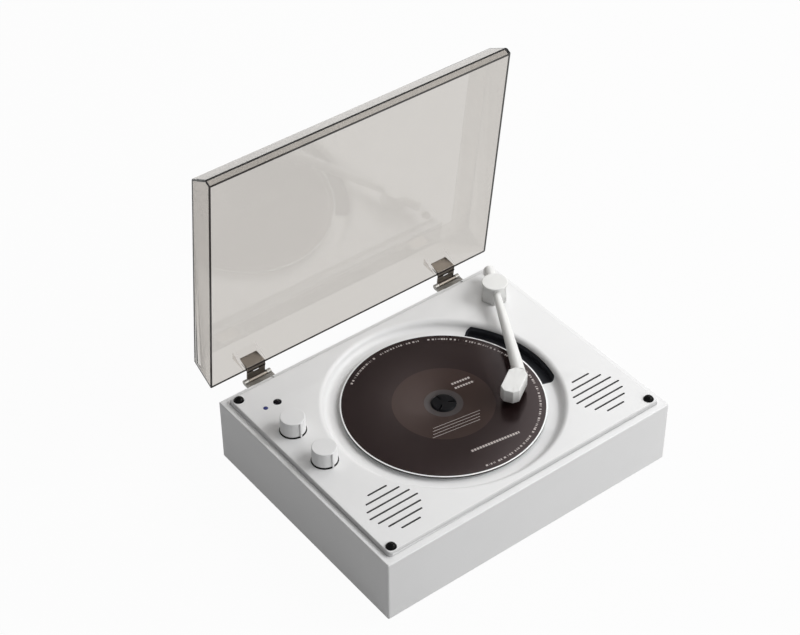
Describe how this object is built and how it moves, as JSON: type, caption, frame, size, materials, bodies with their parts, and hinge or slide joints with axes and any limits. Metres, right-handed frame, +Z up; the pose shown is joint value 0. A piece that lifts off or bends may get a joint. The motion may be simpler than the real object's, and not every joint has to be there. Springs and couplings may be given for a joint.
{
  "type": "disc player",
  "caption": "Table-top compact disc player styled like a record deck: round well with disc, swinging tonearm, knobs, speaker slots and a hinged clear dust cover.",
  "frame": {"origin": "spindle axis, in the plane that the feet stand on", "axes": "+Z up along the spindle, +X to the right along the front edge, -Y to the front"},
  "size_m": [0.2052, 0.184, 0.2073],
  "materials": {
    "white_plastic": "fine satin moulding",
    "arm_plastic": "satin",
    "black_textured": "fine spark-eroded texture",
    "black_rubber": "matt",
    "black_gloss": "glossy",
    "lamp_lens": "glossy tinted",
    "screw_steel": "plated",
    "hinge_metal": "brushed",
    "smoked_clear": "clear, lightly smoked",
    "disc_print": "screen printed, glossy",
    "paper_cone": "pressed paper",
    "board_green": "solder mask",
    "bearing_plastic": "acetal",
    "sled_metal": "die cast",
    "lens_clear": "polished"
  },
  "bodies": {
    "case": {"arm_bearing": "bearing_plastic", "arm_switch": "black_gloss", "audio_jack": "black_gloss", "base_cover": "white_plastic", "base_screws": "screw_steel", "case_shell": "white_plastic", "damper_screws": "screw_steel", "deck_screws": "screw_steel", "finger_recess": "black_textured", "guide_rods": "screw_steel", "hinge_leaves": "hinge_metal", "hinge_pins": "screw_steel", "hinge_screws": "screw_steel", "main_board": "board_green", "potentiometers": "screw_steel", "power_inlet": "screw_steel", "power_switch": "black_gloss", "receiver_window": "black_gloss", "rubber_dampers": "black_rubber", "rubber_feet": "black_rubber", "screw_plugs": "black_rubber", "sensor_board": "board_green", "speaker_cones": "paper_cone", "speaker_frames": "screw_steel", "speaker_magnets": "black_gloss", "spindle_motor": "screw_steel", "status_lamp": "lamp_lens", "top_deck": "white_plastic", "traverse_chassis": "black_gloss"},
    "dust_cover": {"dust_cover": "smoked_clear", "hinge_clips": "hinge_metal"},
    "tonearm": {"arm_turret": "arm_plastic", "arm_cap": "arm_plastic", "arm_tube": "arm_plastic", "counterweight": "arm_plastic", "headshell": "arm_plastic", "arm_shaft": "screw_steel"},
    "volume_control": {"volume_knob": "white_plastic", "volume_shaft": "screw_steel"},
    "mode_control": {"mode_knob": "white_plastic", "mode_shaft": "screw_steel"},
    "disc_drive": {"spindle_hub": "black_gloss", "compact_disc": "disc_print", "motor_shaft": "screw_steel"},
    "pickup": {"pickup_sled": "sled_metal", "pickup_lens": "lens_clear"},
    "power_tab": {"power_slider": "white_plastic"}
  },
  "joints": [
    {"name": "cover_hinge", "type": "hinge", "parent": "case", "child": "dust_cover", "pos_m": [0, 0.08605, 0.0423], "axis": [1, 0, 0], "range_deg": [0, 83.7]},
    {"name": "arm_swing", "type": "hinge", "parent": "case", "child": "tonearm", "pos_m": [0.0813, 0.0524, 0.0466], "axis": [0, 0, 1], "range_deg": [0, 25]},
    {"name": "volume_turn", "type": "hinge", "parent": "case", "child": "volume_control", "pos_m": [-0.0827, 0.0329, 0.0466], "axis": [0, 0, 1], "range_deg": [-140, 140]},
    {"name": "mode_turn", "type": "hinge", "parent": "case", "child": "mode_control", "pos_m": [-0.0827, 0.0024, 0.0466], "axis": [0, 0, 1], "range_deg": [-140, 140]},
    {"name": "disc_spin", "type": "hinge", "parent": "case", "child": "disc_drive", "pos_m": [0, 0, 0.0439], "axis": [0, 0, 1], "continuous": true},
    {"name": "pickup_slide", "type": "slide", "parent": "case", "child": "pickup", "axis": [0, 1, 0], "range_m": [0, 0.033]},
    {"name": "power_slide", "type": "slide", "parent": "case", "child": "power_tab", "axis": [1, 0, 0], "range_m": [0, 0.003]}
  ]
}
